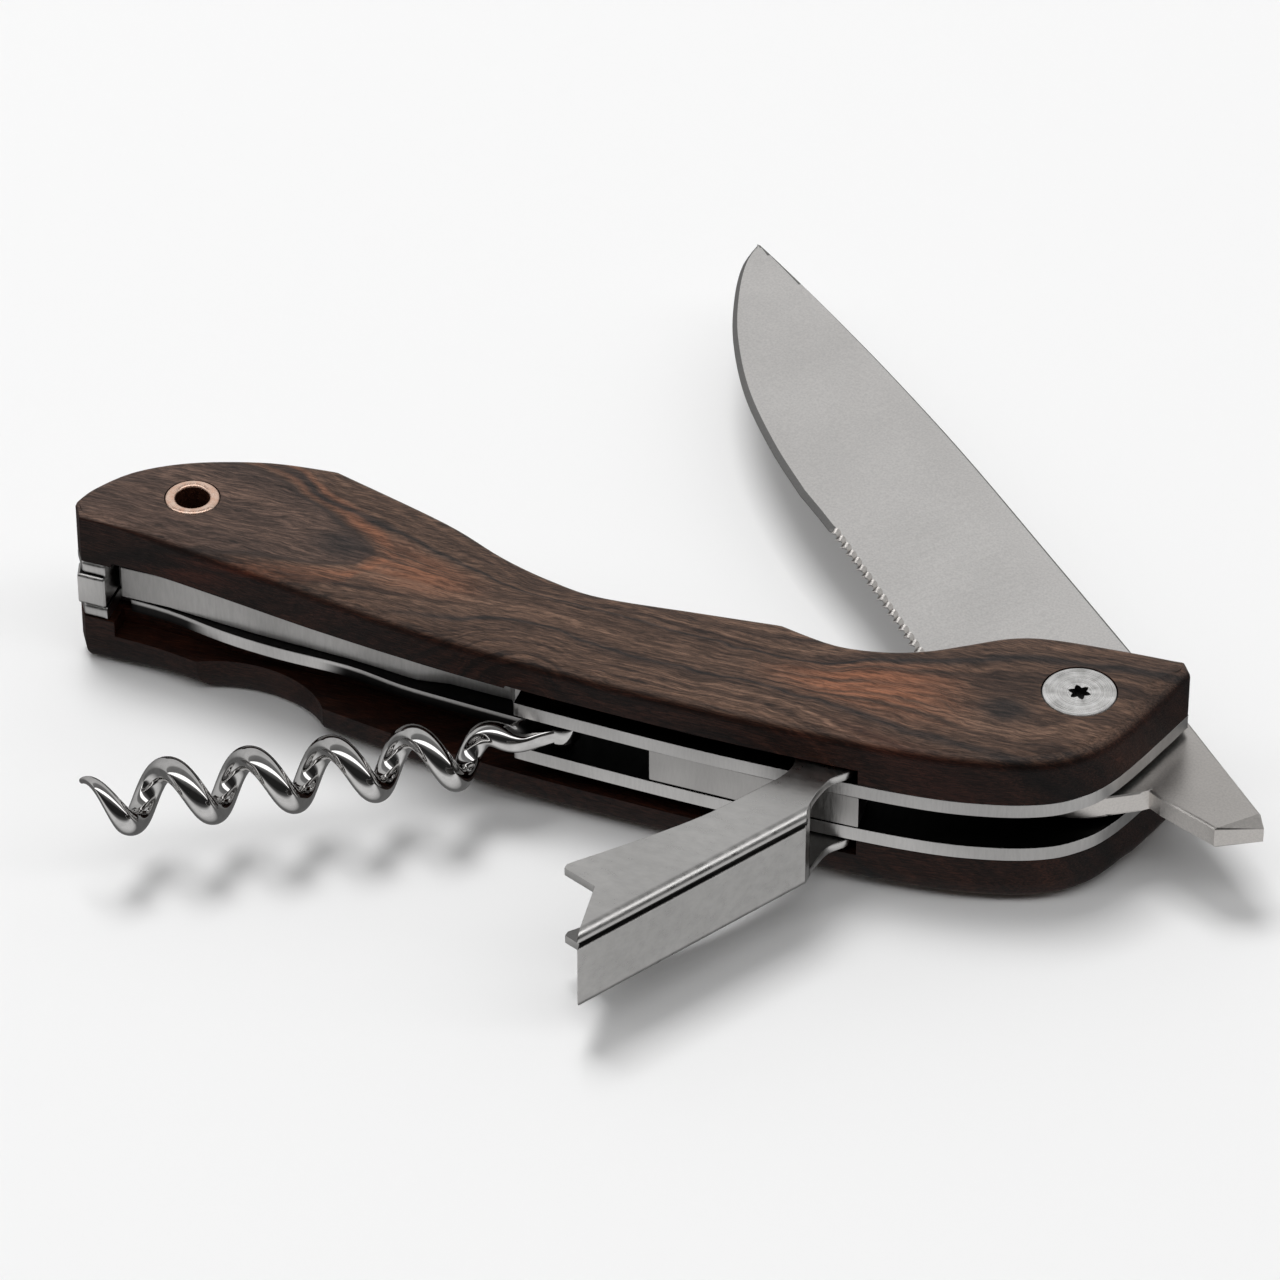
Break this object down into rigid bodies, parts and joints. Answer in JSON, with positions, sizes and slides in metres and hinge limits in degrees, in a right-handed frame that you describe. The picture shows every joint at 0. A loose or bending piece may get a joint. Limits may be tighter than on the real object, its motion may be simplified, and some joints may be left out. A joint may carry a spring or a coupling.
{
  "type": "folding waiter's corkscrew",
  "caption": "Folding waiter's corkscrew with wooden scales, a half-open blade and opener tang, a helical worm and a folded-sheet lever.",
  "frame": {"origin": "on the resting face of the lower scale, midway along X between the lanyard eyelet and the blade pivot", "axes": "+X from the lanyard eyelet to the blade pivot, +Y to the side the blade opens from, +Z out of the upper scale"},
  "size_m": [0.1265, 0.1186, 0.0192],
  "materials": {
    "walnut": "oiled satin walnut with dark streaks",
    "liner_steel": "satin ground edges",
    "blade_steel": "bead blasted, matt, with a bright ground edge",
    "lever_steel": "satin sheet",
    "worm_steel": "polished wire",
    "screw_steel": "turned head, fine concentric marks",
    "copper": "polished copper"
  },
  "bodies": {
    "handle": {"upper_scale": "walnut", "lower_scale": "walnut", "upper_liner": "liner_steel", "lower_liner": "liner_steel", "butt_spacer": "liner_steel", "back_spring": "liner_steel", "spacer_block": "liner_steel", "spring_rivet_rear": "liner_steel", "spring_rivet_front": "liner_steel", "butt_rivet": "liner_steel", "block_rivet": "liner_steel", "worm_pin": "liner_steel", "lever_pin": "liner_steel", "lanyard_eyelet": "copper", "pivot_barrel": "screw_steel", "pivot_screw": "screw_steel", "pivot_nut": "screw_steel", "lower_washer": "copper", "upper_washer": "copper"},
    "blade": {"blade": "blade_steel"},
    "worm": {"worm": "worm_steel"},
    "lever": {"lever": "lever_steel"}
  },
  "joints": [
    {"name": "blade_pivot", "type": "hinge", "parent": "handle", "child": "blade", "pos_m": [0.04735, 0.0065, 0.0095], "axis": [0, 0, 1], "range_deg": [-135.5, 45.8]},
    {"name": "lever_pivot", "type": "hinge", "parent": "handle", "child": "lever", "pos_m": [0.0252, -0.0057, 0.0095], "axis": [0, 0, 1], "range_deg": [-56, 44]},
    {"name": "worm_pivot", "type": "hinge", "parent": "handle", "child": "worm", "pos_m": [-0.0032, -0.0047, 0.0095], "axis": [0, 0, 1], "range_deg": [-36, 29]}
  ],
  "couplings": [
    {"joint": "worm_pivot", "follows": "lever_pivot", "ratio": 0.64}
  ]
}
